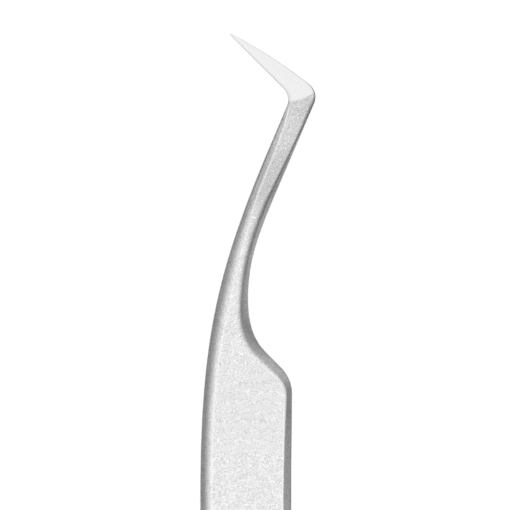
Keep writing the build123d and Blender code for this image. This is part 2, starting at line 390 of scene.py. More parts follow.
def bowed(start, end, radius):
    """An arc of this radius from start to end, bowed to the right of the way it runs."""
    half = hypot(*(end - start)) / 2
    centre = (start + end) / 2 + quarter_turn(unit(end - start)) * sqrt(radius ** 2 - half ** 2)
    return arc(centre, radius, heading(start - centre), heading(end - centre))


def shortened(path, cut):
    """The path without its last stretch of this length."""
    along = np.concatenate(([0], np.cumsum(np.hypot(*np.diff(path, axis=0).T))))
    end = along[-1] - cut
    last = [np.interp(end, along, path[:, axis]) for axis in (0, 1)]
    return np.vstack((path[along < end], last))


def rounded(path, following, radius):
    """Two edges joined into one path by a round of this radius."""
    arriving, leaving = unit(path[-1] - path[-2]), unit(following[1] - following[0])
    turn = abs(atan2(quarter_turn(arriving) @ leaving, arriving @ leaving))
    reach, handle = radius * tan(turn / 2), 4 / 3 * tan(turn / 4) * radius
    before, after = shortened(path, reach), shortened(following[::-1], reach)[::-1]
    corner = curve(before[-1], arriving * handle, leaving * handle, after[0], steps=24)
    return np.vstack((before, corner[1:-1], after))


def lean_point(sizes, across, behind):
    """A point on the leaning neck, this far across it from its inner edge."""
    x = sizes.elbow_x - (behind - sizes.elbow_behind) * tan(sizes.lean) + across / cos(sizes.lean)
    return point(x, behind)


def tip_bow(sizes):
    """The tip's bowed edge, from the elbow's outer corner to the sharp apex."""
    run = (sizes.elbow_behind + sizes.tip_ahead) * tan(sizes.tip_edge)
    apex = point(sizes.elbow_x - run, -sizes.tip_ahead)
    return bowed(lean_point(sizes, sizes.lean_width, sizes.outer_elbow_behind), apex, sizes.tip_edge_radius)


def tip_round(sizes):
    """Centre of the tip's round, and the ways in which the inner and the outer edge face there."""
    bow = tip_bow(sizes)
    inner_face = quarter_turn(np.array((-sin(sizes.tip_edge), cos(sizes.tip_edge))))
    outer_face = -quarter_turn(unit(bow[-1] - bow[-2]))
    between = inner_face + outer_face
    centre = bow[-1] - between * 2 * sizes.tip_radius / (between @ between)
    return np.array((centre[0], TIP_Y - sizes.tip_radius)), inner_face, outer_face


def rising(*paths):
    """Edges end to end, as one path that never runs back from the tip."""
    path = np.vstack(paths)
    highest = np.maximum.accumulate(path[:, 1])
    return path[np.concatenate(([True], np.diff(highest) > 0))]


def heel_and_grip(sizes, side, grip_end):
    """The edge from the middle of the tail along the heel and the grip, on one side."""
    half = sizes.heel_width / 2
    tail_y = LENGTH - half
    tail = arc(point(0, tail_y), half, -pi / 2, -pi / 2 + side * pi / 2)
    heel = line(point(side * half, tail_y), point(side * half, LENGTH - sizes.heel_parallel))
    taper = line(heel[1], point(side * GRIP_HALF, sizes.grip_taper))
    path = rounded(heel, taper, sizes.taper_corner)
    return np.vstack((tail[:-1], rounded(path, line(taper[1], grip_end), sizes.taper_corner)))


def inner_edge(sizes):
    """The edge on the side that the tip points to: grip, sweep, lean, elbow, tip."""
    lean = np.array((sin(sizes.lean), cos(sizes.lean)))
    sweep, lean_start = point(-GRIP_HALF, sizes.sweep), lean_point(sizes, 0, sizes.lean_behind)
    elbow = point(sizes.elbow_x, sizes.elbow_behind)
    centre, inner_face, _ = tip_round(sizes)
    forward = np.array((0.0, 1.0))
    bend = curve(sweep, forward * sizes.sweep_handle, lean * sizes.lean_handle, lean_start)
    foot = rounded(line(lean_start, elbow), line(elbow, centre + inner_face * sizes.tip_radius),
                   sizes.inner_elbow_radius)
    tip = arc(centre, sizes.tip_radius, heading(inner_face) + 2 * pi, pi / 2)
    return rising(heel_and_grip(sizes, -1, sweep), bend[1:], foot[1:], tip[1:])


def outer_edge(sizes):
    """The edge on the elbow's side: grip, shoulder, waist, lean, elbow, tip."""
    lean = np.array((sin(sizes.lean), cos(sizes.lean)))
    slope = np.array((-sin(sizes.shoulder), cos(sizes.shoulder)))
    forward = np.array((0.0, 1.0))
    slope_end = point(sizes.slope_x, sizes.slope_behind)
    shoulder = slope_end - slope * (GRIP_HALF + sizes.flare - sizes.slope_x) / sin(sizes.shoulder)
    flare = point(GRIP_HALF, sizes.flare_behind)
    waist = point(sizes.waist_x, sizes.waist_behind)
    lean_start = lean_point(sizes, sizes.lean_width, sizes.outer_lean_behind)
    centre, _, outer_face = tip_round(sizes)
    grip = rounded(heel_and_grip(sizes, 1, flare), line(flare, shoulder), sizes.taper_corner)
    grip = rounded(grip, line(shoulder, slope_end), sizes.shoulder_radius)
    rear = curve(slope_end, slope * sizes.slope_handle, forward * sizes.waist_rear_handle, waist)
    neck = curve(waist, forward * sizes.waist_handle, lean * sizes.outer_lean_handle, lean_start)
    bow = tip_bow(sizes)
    bow = shortened(bow, hypot(*(bow[-1] - centre - outer_face * sizes.tip_radius)))
    foot = rounded(line(lean_start, bow[0]), bow, sizes.outer_elbow_radius)
    tip = arc(centre, sizes.tip_radius, heading(outer_face), pi / 2)
    return rising(grip, rear[1:], neck[1:], foot[1:], tip[1:])


# ---- Side view of a strip


def bent_line(places, heights, radii, behind):
    """Heights of a line with rounded bends. The places are in order from the tip."""
    level = np.interp(behind, places, heights)
    slopes = np.diff(heights) / np.diff(places)
    for place, radius, bend in zip(places[1:], radii, np.diff(slopes)):
        reach = radius * abs(bend) / 2
        level = level + bend * np.maximum(0, reach - np.abs(behind - place)) ** 2 / (4 * reach)
    return level


def foot_height(behind):
    """Height of the foot's inner face at rest. Closed, it lies flat just off the other foot."""
    return HINGE_HEIGHT + (CLOSED_GAP - HINGE_HEIGHT + (HINGE_BEHIND - behind) * sin(CLOSING)) / cos(CLOSING)


def strip_heights(sizes, behind):
    """Heights of the strip's outer and inner faces, at distances behind the tip."""
    ahead, past = -PAST_END, LENGTH + PAST_END
    places = (ahead, sizes.foot, sizes.grip_front, sizes.grip_rear, SPACER_FRONT, past)
    radii = (sizes.grip_bend, sizes.grip_bend, sizes.grip_bend, sizes.heel_bend)
    foot, tip = foot_height(sizes.foot) + sizes.foot_thickness, foot_height(0) + sizes.tip_thickness
    front = tip - (foot - tip) * -ahead / sizes.foot
    outer = (front, foot, GRIP_HEIGHT, GRIP_HEIGHT, HEEL_HEIGHT, HEEL_HEIGHT)
    palm = GRIP_HEIGHT - sizes.grip_thickness
    inner = (foot_height(ahead), foot_height(sizes.foot), palm, palm, SPACER_HALF, SPACER_HALF)
    return bent_line(places, outer, radii, behind), bent_line(places, inner, radii, behind)


# ---- Section of a strip


def distance_from(path, spots):
    """Distance of each spot from the nearest stretch of a path."""
    nearest = np.full(spots.shape[:-1], np.inf)
    for start, run in zip(path[:-1], np.diff(path, axis=0)):
        along = np.clip((spots - start) @ run / (run @ run), 0, 1)
        gap = spots - start - along[..., None] * run
        nearest = np.minimum(nearest, (gap ** 2).sum(axis=-1))
    return np.sqrt(nearest)


def from_table(table, spots):
    """The table's columns at each spot, in its own units."""
    rows = np.array(table)
    behind = (TIP_Y - spots[..., 1]) / MM
    return [np.interp(behind, rows[:, 0], column) for column in rows.T[1:]]


def edge_at(table, spots):
    """Width, slope, softness, rim and rubbing (wear and painted highlight) of an edge at each rib, as
    columns.
    """
    width, tilt, softness, rim, rubbed = (column[:, None] for column in from_table(table, spots))
    return width * MM, np.tan(np.radians(tilt)), softness * MM, rim * MM, rubbed


def rib_ends(sizes):
    """Where each rib meets the inner and the outer edge, behind the tip, from tail to tip."""
    tail = LENGTH - sizes.heel_width / 2 * TAIL_STEPS[:-1]
    ends = [np.stack((tail, tail), axis=1)]
    stops = np.array(RIB_STOPS)
    for stop, following in zip(stops, stops[1:]):
        count = int(np.ceil((stop[0] - following[0]) / stop[2]))
        steps = np.arange(count)[:, None] / count
        ends.append((stop[:2] + (following[:2] - stop[:2]) * steps) * MM)
    ends.append(TIP_STEPS[:, None] * stops[-1, :2] * MM)
    return np.vstack(ends)


def on_path(path, behind):
    """Points of a path at distances behind the tip."""
    y = TIP_Y - behind
    return np.stack((np.interp(y, path[:, 1], path[:, 0]), y), axis=1)


def across_ribs(starts, ends, shares):
    """Spots on each rib, at shares of its width."""
    return starts[:, None] + shares[..., None] * (ends - starts)[:, None]


def columns_from_edge(path, starts, ends, goals):
    """Shares of each rib at which its columns stand, for goals measured in from the edge."""
    spots = across_ribs(starts, ends, np.broadcast_to(RIB_SAMPLES, (len(starts), len(RIB_SAMPLES))))
    reach = np.maximum.accumulate(distance_from(path, spots), axis=1)
    rows = [np.interp(goal, have, RIB_SAMPLES) for goal, have in zip(goals, reach)]
    return np.minimum(np.array(rows), MOST_OF_RIB)


def bevel_goals(table, starts, face_reach):
    """Distances in from the edge of a bevel's columns: rim, facet and arris."""
    width, _, softness, rim, _ = edge_at(table, starts)
    facet, inside = np.maximum(width - softness, rim), width + face_reach * softness
    bevel, arris = rim + (facet - rim) * FACET_STEPS, facet + (inside - facet) * ARRIS_STEPS
    return np.maximum.accumulate(np.hstack((rim * RIM_STEPS, bevel, arris)), axis=1)


def filled_columns(left, right, count):
    """The left columns, an even spread of more, and the right columns, as shares of each rib."""
    spread = np.linspace(0, 1, count + 2)[1:-1]
    first, last = left[:, -1:], 1 - right[:, -1:]
    return np.hstack((left, first + (last - first) * spread, 1 - right[:, ::-1]))


def round_drop(away, radius):
    """How far a quarter round of this radius drops, at a distance in from the edge."""
    inward = 1 - np.clip(away / radius, 0, 1)
    return radius * (1 - np.sqrt(1 - inward ** 2))


def bevel_drop(away, width, slope, softness, face_reach):
    """How far a bevel drops, easing out of the face across its arris."""
    inside = width - away
    across = np.clip((inside / softness + face_reach) / (face_reach + 1), 0, 1)
    return slope * np.where(inside < softness, softness * across ** (face_reach + 1), inside)


def burr_radii(sizes, behind):
    """Radius of the rounds along the inner face: fine at the tips, and full from the neck back."""
    reach = (sizes.polish_reach, sizes.outer_lean_behind)
    return np.interp(behind, reach, (sizes.tip_burr_radius, sizes.burr_radius))


def face_points(sizes, paths, ends):
    """Points of the outer face on each rib, and how far each stands in from its arris, in mm."""
    edges = list(zip(paths, (INNER_EDGE, OUTER_EDGE), ends, ends[::-1], FACE_REACH))
    columns = [columns_from_edge(path, near, far, bevel_goals(table, near, reach))
               for path, table, near, far, reach in edges]
    shares = filled_columns(*columns, MIDDLE_COLUMNS)
    spots = across_ribs(*ends, shares)
    drops, inset = [], []
    for path, table, near, _, reach in edges:
        away = distance_from(path, spots)
        width, slope, softness, rim, rubbed = edge_at(table, near)
        drops.append(bevel_drop(away, width, slope, softness, reach) + round_drop(away, rim))
        inset.append((away - width - reach * softness) / MM / rubbed)
    outer, inner = strip_heights(sizes, TIP_Y - spots[..., 1])
    fall = from_table(NECK_FALL, spots)[0] * MM * shares ** 2
    height = outer - np.minimum(np.maximum(*drops) + fall, MOST_OF_THICKNESS * (outer - inner))
    nearest = np.where(np.abs(inset[0]) < np.abs(inset[1]), *inset)
    return np.dstack((spots, MID_Z + height)), nearest


def palm_points(sizes, paths, ends, behind):
    """Points of the inner face on each rib, from the outer edge back to the inner one."""
    rounds = burr_radii(sizes, behind.mean(axis=1))[:, None] * ROUND_STEPS
    columns = [columns_from_edge(path, near, far, rounds) for path, near, far in zip(paths, ends, ends[::-1])]
    spots = across_ribs(*ends, filled_columns(*columns, PALM_COLUMNS))[:, ::-1]
    place_behind = TIP_Y - spots[..., 1]
    outer, inner = strip_heights(sizes, place_behind)
    rises = [round_drop(distance_from(path, spots), burr_radii(sizes, place_behind)) for path in paths]
    height = inner + np.minimum(np.maximum(*rises), MOST_OF_PALM * (outer - inner))
    return np.dstack((spots, MID_Z + height))


def wall_points(first, last):
    """Points of a side wall, between the rims of the two faces."""
    return first + (last - first) * np.linspace(0, 1, WALL_COLUMNS + 2)[1:-1, None]


def strip_rings(sizes):
    """Points round the strip at each rib, and how far each stands in from its arris, in mm."""
    paths = inner_edge(sizes), outer_edge(sizes)
    behind = rib_ends(sizes)
    ends = [on_path(path, place) for path, place in zip(paths, behind.T)]
    face, inset = face_points(sizes, paths, ends)
    palm = palm_points(sizes, paths, ends, behind)
    outer_wall, inner_wall = wall_points(face[:, -1:], palm[:, :1]), wall_points(palm[:, -1:], face[:, :1])
    rings = np.hstack((face, outer_wall, palm, inner_wall))
    arris = np.full(rings.shape[:2], -1.0)
    arris[:, :face.shape[1]] = inset
    return rings, arris


# ---- Meshes


def new_piece(name, mesh, material):
    """An object of this mesh, smoothly shaded but for its sharp corners."""
    mesh.name = name
    mesh.shade_smooth()
    mesh.set_sharp_from_angle(angle=SHARP_CORNER)
    mesh.materials.clear()
    mesh.materials.append(material)
    piece = bpy.data.objects.new(name, mesh)
    bpy.context.scene.collection.objects.link(piece)
    return piece


def tidied(mesh):
    """The mesh with doubled points merged and its faces turned outwards."""
    shell = bmesh.new()
    shell.from_mesh(mesh)
    bmesh.ops.remove_doubles(shell, verts=shell.verts, dist=MERGE)
    bmesh.ops.recalc_face_normals(shell, faces=shell.faces)
    open_edges = [edge for edge in shell.edges if not edge.is_manifold]
    if open_edges:
        raise RuntimeError(f"{mesh.name} is open at {len(open_edges)} edges")
    shell.to_mesh(mesh)
    shell.free()
    return mesh


def set_attribute(mesh, name, values):
    """Stores one number for each point of the mesh."""
    attribute = mesh.attributes.get(name) or mesh.attributes.new(name, "FLOAT", "POINT")
    attribute.data.foreach_set("value", np.asarray(values, np.float32))


def keep_rest_place(mesh):
    """Stores where each point lies at rest, so that a finish stays put when the strip bends."""
    places = np.empty(3 * len(mesh.vertices), np.float32)
    mesh.vertices.foreach_get("co", places)
    attribute = mesh.attributes.new("rest", "FLOAT_VECTOR", "POINT")
    attribute.data.foreach_set("vector", places)
    return places.reshape(-1, 3)


def ring_mesh(name, rings, arris, capped=False):
    """A closed skin over rings of points. A ring of no width closes its own end."""
    count, around = rings.shape[:2]
    corner = np.arange(count * around).reshape(count, around)
    beside = np.roll(corner, -1, axis=1)
    faces = np.stack((corner[:-1], beside[:-1], beside[1:], corner[1:]), axis=-1).reshape(-1, 4).tolist()
    if capped:
        faces += [corner[0, ::-1].tolist(), corner[-1].tolist()]
    mesh = bpy.data.meshes.new(name)
    mesh.from_pydata(rings.reshape(-1, 3).tolist(), [], faces)
    set_attribute(mesh, "arris", arris.ravel())
    return tidied(mesh)


def drilled(mesh):
    """The mesh with the two weld holes cut through it."""
    rods = bmesh.new()
    for y in WELD_PLACES:
        bmesh.ops.create_cone(rods, cap_ends=True, segments=WELD_SEGMENTS, radius1=WELD_RADIUS,
                              radius2=WELD_RADIUS, depth=4 * HEEL_HEIGHT,
                              matrix=Matrix.Translation((0, y, MID_Z)))
    drill = bpy.data.objects.new("weld_drill", bpy.data.meshes.new("weld_drill"))
    rods.to_mesh(drill.data)
    rods.free()
    blank = bpy.data.objects.new("blank", mesh)
    for item in (drill, blank):
        bpy.context.scene.collection.objects.link(item)
    cut = blank.modifiers.new("Weld holes", "BOOLEAN")
    cut.operation, cut.solver, cut.object = "DIFFERENCE", "EXACT", drill
    graph = bpy.context.evaluated_depsgraph_get()
    holed = bpy.data.meshes.new_from_object(blank.evaluated_get(graph), preserve_all_data_layers=True,
                                            depsgraph=graph)
    for item in (drill, blank):
        bpy.data.objects.remove(item)
    if len(holed.vertices) <= len(mesh.vertices):
        raise RuntimeError("the weld holes weren't cut")
    return holed


def mark_finishes(mesh, places, sizes):
    """Stores the neck's painted shade, and how far each point lies on the polished side of the border, in mm.
    """
    set_attribute(mesh, "shade", from_table(NECK_PAINTED_SHADE, places[:, :2])[0])
    past_corner = np.maximum(0, places[:, 0] - sizes.polish_corner)
    border = sizes.polish_reach - past_corner ** 2 / (2 * sizes.polish_radius)
    set_attribute(mesh, "polish", (border - (TIP_Y - places[:, 1])) / MM)


def weld_mesh(name):
    """Two fused rods through the stack, dished at both ends by the electrodes."""
    profile = np.array(WELD_PROFILE)
    radii = np.concatenate((profile[:, 0], profile[::-1, 0])) * WELD_RADIUS
    top = HEEL_HEIGHT - profile[:, 1] * MM
    heights = np.concatenate((top, -top[::-1]))
    around = np.linspace(0, 2 * pi, WELD_SEGMENTS, endpoint=False)
    from_crest = (radii - WELD_CREST * WELD_RADIUS) / MM
    both = bmesh.new()
    for y in WELD_PLACES:
        rings = np.empty((len(radii), WELD_SEGMENTS, 3))
        rings[..., 0] = radii[:, None] * np.cos(around)
        rings[..., 1] = y + radii[:, None] * np.sin(around)
        rings[..., 2] = MID_Z + heights[:, None]
        one = ring_mesh(name, rings, np.repeat(from_crest[:, None], WELD_SEGMENTS, axis=1))
        both.from_mesh(one)
        bpy.data.meshes.remove(one)
    mesh = bpy.data.meshes.new(name)
    both.to_mesh(mesh)
    both.free()
    return mesh


def inwards(outline, depth):
    """A closed outline drawn in by this depth. It runs anticlockwise."""
    before, after = outline - np.roll(outline, 1, axis=0), np.roll(outline, -1, axis=0) - outline
    before, after = (way / np.hypot(*way.T)[:, None] for way in (before, after))
    faces = np.stack((-before[:, 1] - after[:, 1], before[:, 0] + after[:, 0]), axis=1)
    return outline + depth * 2 * faces / (faces ** 2).sum(axis=1)[:, None]


def spacer_outline(sizes):
    """Plan of the spacer, anticlockwise: round at the tail, square at the front."""
    sides = []
    for side in (1, -1):
        path = heel_and_grip(sizes, side, point(side * GRIP_HALF, sizes.sweep))
        front = on_path(path, np.array([SPACER_FRONT]))
        sides.append(np.vstack((path[path[:, 1] < SPACER_HIGH.y - SPACER_EDGE], front)))
    strip = np.vstack((sides[0], sides[1][:0:-1]))
    setback = SPACER_LOW.y - (TIP_Y - LENGTH)
    outline = inwards(strip, setback)
    outline[:, 1] = np.where(strip[:, 1] > SPACER_HIGH.y - SPACER_EDGE, SPACER_HIGH.y, outline[:, 1])
    return outline


def spacer_mesh(name, sizes):
    """The spacer's plate, with its edges just broken."""
    outline = spacer_outline(sizes)
    insets = SPACER_EDGE * (1 - np.sin(SPACER_STEPS))
    heights = SPACER_HALF - SPACER_EDGE * (1 - np.cos(SPACER_STEPS))
    levels = np.concatenate((-heights, heights[::-1]))
    insets = np.concatenate((insets, insets[::-1]))
    loops = [np.hstack((inwards(outline, inset), np.full((len(outline), 1), MID_Z + level)))
             for inset, level in zip(insets, levels)]
    arris = np.repeat(0.5 * SPACER_EDGE / MM - insets[:, None] / MM, len(outline), axis=1)
    return ring_mesh(name, np.array(loops), arris, capped=True)


# ---- Finishes


def place(tree, kind, inputs=(), **settings):
    """Adds a node with its settings, and a value or a link for each input."""
    node = tree.nodes.new(kind)
    for name, value in settings.items():
        setattr(node, name, value)
    for key, value in dict(inputs).items():
        if isinstance(value, bpy.types.NodeSocket):
            tree.links.new(value, node.inputs[key])
        else:
            node.inputs[key].default_value = value
    return node


def maths(tree, operation, first, second=0.0, clamp=False):
    """One sum of two values."""
    node = place(tree, "ShaderNodeMath", {0: first, 1: second}, operation=operation, use_clamp=clamp)
    return node.outputs[0]


def vector_maths(tree, operation, inputs, output="Vector"):
    """One sum of vectors."""
    return place(tree, "ShaderNodeVectorMath", inputs, operation=operation).outputs[output]


def ramped(tree, value, low, high, out_low=0.0, out_high=1.0):
    """A value eased from one range to another."""
    inputs = {"Value": value, "From Min": low, "From Max": high, "To Min": out_low, "To Max": out_high}
    return place(tree, "ShaderNodeMapRange", inputs, interpolation_type="SMOOTHSTEP").outputs[0]


def mixed(tree, factor, first, second, **settings):
    """Two colours mixed."""
    inputs = {0: factor, 6: first, 7: second}
    return place(tree, "ShaderNodeMix", inputs, data_type="RGBA", **settings).outputs[2]


def noise(tree, vector, scale, detail=2.0, roughness=0.5):
    """Soft noise."""
    inputs = {"Vector": vector, "Scale": scale, "Detail": detail, "Roughness": roughness}
    return place(tree, "ShaderNodeTexNoise", inputs).outputs["Fac"]


def opaque(colour):
    """A colour property as the four numbers that a socket takes."""
    return (*colour, 1.0)


def node_group(name, inputs, outputs):
    """An empty node group with these sockets, and its input and output nodes."""
    group = bpy.data.node_groups.new(name, "ShaderNodeTree")
    for direction, sockets in (("INPUT", inputs), ("OUTPUT", outputs)):
        for label, kind in sockets:
            group.interface.new_socket(name=label, in_out=direction, socket_type="NodeSocket" + kind)
    return group, group.nodes.new("NodeGroupInput"), group.nodes.new("NodeGroupOutput")


def grain_group():
    """Speckle of a blasted or blanked surface."""
    group, given, put_out = node_group(
        "Blasted grain",
        (("Vector", "Vector"), ("Size", "Float"), ("Steel", "Color"), ("Pits", "Color"), ("Cloud", "Float")),
        (("Color", "Color"), ("Grain", "Float")),
    )
    scale = maths(group, "DIVIDE", 1.0, given.outputs["Size"])
    scaled = vector_maths(group, "SCALE", {0: given.outputs["Vector"], "Scale": scale})
    fine = ramped(group, noise(group, scaled, 1.0, 1.0), 0.43, 0.57)
    cloud = ramped(group, noise(group, scaled, 0.07, 2.0), 0.3, 0.7)
    lift = maths(group, "MULTIPLY", maths(group, "SUBTRACT", cloud, 0.5), given.outputs["Cloud"])
    amount = maths(group, "ADD", fine, lift, clamp=True)
    colour = mixed(group, amount, given.outputs["Pits"], given.outputs["Steel"])
    group.links.new(colour, put_out.inputs["Color"])
    group.links.new(amount, put_out.inputs["Grain"])
    return group


def arris_group():
    """Mask of the rubbed line along an arris, broken here and there: wear, and a painted highlight."""
    group, given, put_out = node_group(
        "Worn and highlit arris",
        (("Vector", "Vector"), ("Distance", "Float"), ("Width", "Float"), ("Breaks", "Float")),
        (("Mask", "Float"),),
    )
    away = maths(group, "DIVIDE", maths(group, "ABSOLUTE", given.outputs["Distance"]), given.outputs["Width"])
    band = ramped(group, away, 0.2, 1.0, 1.0, 0.0)
    worn = ramped(group, noise(group, given.outputs["Vector"], 2500.0, 3.0), 0.35, 0.6)
    gaps = maths(group, "MULTIPLY", maths(group, "SUBTRACT", 1.0, worn), given.outputs["Breaks"])
    mask = maths(group, "MULTIPLY", band, maths(group, "SUBTRACT", 1.0, gaps), clamp=True)
    group.links.new(mask, put_out.inputs["Mask"])
    return group


def lines_group():
    """Fine lines that rolling or polishing leaves along a strip."""
    group, given, put_out = node_group(
        "Fine lines",
        (("Vector", "Vector"), ("Spacing", "Float"), ("Stretch", "Float")),
        (("Lines", "Float"),),
    )
    across = maths(group, "DIVIDE", 1.0, given.outputs["Spacing"])
    along = maths(group, "DIVIDE", across, given.outputs["Stretch"])
    scale = place(group, "ShaderNodeCombineXYZ", {"X": across, "Y": along, "Z": across}).outputs[0]
    drawn = vector_maths(group, "MULTIPLY", {0: given.outputs["Vector"], 1: scale})
    group.links.new(ramped(group, noise(group, drawn, 1.0, 3.0), 0.35, 0.65), put_out.inputs["Lines"])
    return group


def shared_group(name, maker):
    """The node group of this name, built once."""
    return bpy.data.node_groups.get(name) or maker()


def use_group(tree, name, maker, inputs):
    """Places a shared node group, with its own values."""
    return place(tree, "ShaderNodeGroup", inputs, node_tree=shared_group(name, maker)).outputs


def stored(tree, name, output="Fac"):
    """What the mesh stores under a name."""
    return place(tree, "ShaderNodeAttribute", attribute_name=name).outputs[output]


def bumped(tree, height, depth):
    """A normal roughened by a height."""
    return place(tree, "ShaderNodeBump", {"Height": height, "Distance": depth, "Strength": 1.0}).outputs[0]


def fine_lines(tree, rest, spacing, stretch):
    """Fine lines along the strip, with their spacing in mm."""
    inputs = {"Vector": rest, "Spacing": spacing * MM, "Stretch": stretch}
    return use_group(tree, "Fine lines", lines_group, inputs)["Lines"]


def grained_metal(name, size, steel, pits, cloud, rub):
    """A metal material: its shader, its rest place, its grain, and the mask of its rubbed arrises, which
    paints their highlight as well as their wear.
    """
    material = bpy.data.materials.new(name)
    material.use_nodes = True
    tree = material.node_tree
    shader = tree.nodes["Principled BSDF"]
    shader.inputs["Metallic"].default_value = 1.0
    rest = stored(tree, "rest", "Vector")
    grain = use_group(tree, "Blasted grain", grain_group, {
        "Vector": rest, "Size": size, "Steel": opaque(steel), "Pits": opaque(pits), "Cloud": cloud})
    width, breaks, part = rub
    worn = use_group(tree, "Worn and highlit arris", arris_group, {
        "Vector": rest, "Distance": stored(tree, "arris"), "Width": width, "Breaks": breaks})["Mask"]
    return material, shader, rest, grain, worn, maths(tree, "MULTIPLY", worn, part)


def heat_mask(tree, rest):
    """Mask of the faint rings that the welds' heat leaves on the heel."""
    flat = vector_maths(tree, "MULTIPLY", {0: rest, 1: (1.0, 1.0, 0.0)})
    near, far = (WELD_RADIUS * reach for reach in HEAT_REACH)
    masks = []
    for y in WELD_PLACES:
        away = vector_maths(tree, "DISTANCE", {0: flat, 1: (0.0, y, 0.0)}, "Value")
        masks.append(ramped(tree, away, near, far, 1.0, 0.0))
    return maths(tree, "MULTIPLY", maths(tree, "MAXIMUM", *masks), HEAT_SHARE)


def arm_steel(finish):
    """Bead-blasted steel with polished tips, painted shade on the neck, and rubbed arrises that carry a
    painted highlight.
    """
    material, shader, rest, grain, worn, rubbed = grained_metal(
        "arm_steel", finish.grain, finish.blasted, finish.pits, ARM_CLOUD, ARM_RUB_AND_HIGHLIGHT)
    tree = material.node_tree
    ragged = maths(tree, "MULTIPLY", maths(tree, "SUBTRACT", grain["Grain"], 0.5), BORDER_RAGGED)
    bright = ramped(tree, maths(tree, "ADD", stored(tree, "polish"), ragged), *BORDER_BLEND)
    dull = maths(tree, "SUBTRACT", 1.0, bright)

    # Painted shade: the neck's face is darkened in its colour.
    neck_shaded = mixed(tree, stored(tree, "shade"), grain["Color"], opaque(finish.neck), blend_type="MULTIPLY")
    # Rubbed arrises: wear, and a painted highlight, brightened in the colour.
    colour = mixed(tree, rubbed, neck_shaded, opaque(finish.arris))
    colour = mixed(tree, heat_mask(tree, rest), colour, opaque(finish.straw))
    colour = mixed(tree, bright, colour, opaque(finish.polished))
    tree.links.new(colour, shader.inputs["Base Color"])

    pitted, crest = (finish.blasted_roughness + spread for spread in BLASTED_SPREAD)
    blasted = ramped(tree, grain["Grain"], 0.0, 1.0, pitted, crest)
    blasted = maths(tree, "SUBTRACT", blasted, maths(tree, "MULTIPLY", worn, RUBBED_SMOOTHER))
    smooth, lined = (finish.polished_roughness + spread for spread in POLISHED_SPREAD)
    polished = ramped(tree, fine_lines(tree, rest, *POLISH_LINES), 0.0, 1.0, smooth, lined)
    rough = place(tree, "ShaderNodeMix", {0: bright, 2: blasted, 3: polished}, data_type="FLOAT").outputs[0]
    tree.links.new(rough, shader.inputs["Roughness"])
    height = maths(tree, "MULTIPLY", grain["Grain"], dull)
    tree.links.new(bumped(tree, height, finish.grain_depth), shader.inputs["Normal"])
    return material


def spacer_steel(finish):
    """Plain blanked strip: fine rolling lines, and edges broken bright."""
    pits = [SPACER_PITS * level for level in finish.blanked]
    material, shader, rest, grain, _, rubbed = grained_metal(
        "spacer_steel", SPACER_GRAIN * finish.grain, finish.blanked, pits, SPACER_CLOUD, SPACER_RUB)
    tree = material.node_tree
    lines = fine_lines(tree, rest, *ROLLING_LINES)
    tree.links.new(mixed(tree, rubbed, grain["Color"], opaque(finish.arris)), shader.inputs["Base Color"])
    tree.links.new(ramped(tree, lines, 0.0, 1.0, *SPACER_ROUGHNESS), shader.inputs["Roughness"])
    tree.links.new(bumped(tree, lines, ROLLING_DEPTH * finish.grain_depth), shader.inputs["Normal"])
    return material


def weld_steel(finish):
    """Fused steel, pressed smooth by the electrode and rubbed at its rim."""
    material, shader, _, grain, _, rubbed = grained_metal(
        "weld_steel", WELD_GRAIN * finish.grain, finish.weld, finish.straw, WELD_CLOUD, WELD_RUB)
    tree = material.node_tree
    tree.links.new(mixed(tree, rubbed, grain["Color"], opaque(finish.arris)), shader.inputs["Base Color"])
    tree.links.new(ramped(tree, grain["Grain"], 0.0, 1.0, *WELD_ROUGHNESS), shader.inputs["Roughness"])
    tree.links.new(bumped(tree, grain["Grain"], finish.grain_depth), shader.inputs["Normal"])
    return material


# ---- Operators


class AddStrips(bpy.types.Operator):
    """Add the two sprung strips, upper and lower, each one piece from tail to tip"""
    bl_idname = "tweezers.add_strips"
    bl_label = "Strips"

    def execute(self, context):
        sizes = context.scene.tweezer_strip
        steel = arm_steel(context.scene.tweezer_finish)
        rings, arris = strip_rings(sizes)
        for side, turn in (("upper", 1), ("lower", -1)):
            mirrored = rings.copy()
            mirrored[..., 2] = MID_Z + turn * (rings[..., 2] - MID_Z)
            mesh = drilled(ring_mesh(side + "_strip", mirrored, arris))
            places = keep_rest_place(mesh)
            mark_finishes(mesh, places, sizes)
            piece = new_piece(side + "_strip", mesh, steel)
            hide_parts(side + "_arm", side + "_heel")
            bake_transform(piece)
        return {"FINISHED"}


class AddSpacer(bpy.types.Operator):
    """Add the spacer between the strips' heels"""
    bl_idname = "tweezers.add_spacer"
    bl_label = "Spacer"

    def execute(self, context):
        mesh = drilled(spacer_mesh("spacer_plate", context.scene.tweezer_strip))
        keep_rest_place(mesh)
        piece = new_piece("spacer_plate", mesh, spacer_steel(context.scene.tweezer_finish))
        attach(piece, "heel")
        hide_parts("heel_spacer")
        return {"FINISHED"}


class AddWelds(bpy.types.Operator):
    """Add the two spot welds through the heel"""
    bl_idname = "tweezers.add_welds"
    bl_label = "Spot welds"

    def execute(self, context):
        mesh = weld_mesh("spot_welds")
        keep_rest_place(mesh)
        piece = new_piece("spot_welds", mesh, weld_steel(context.scene.tweezer_finish))
        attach(piece, "heel")
        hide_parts("weld_nuggets")
        return {"FINISHED"}


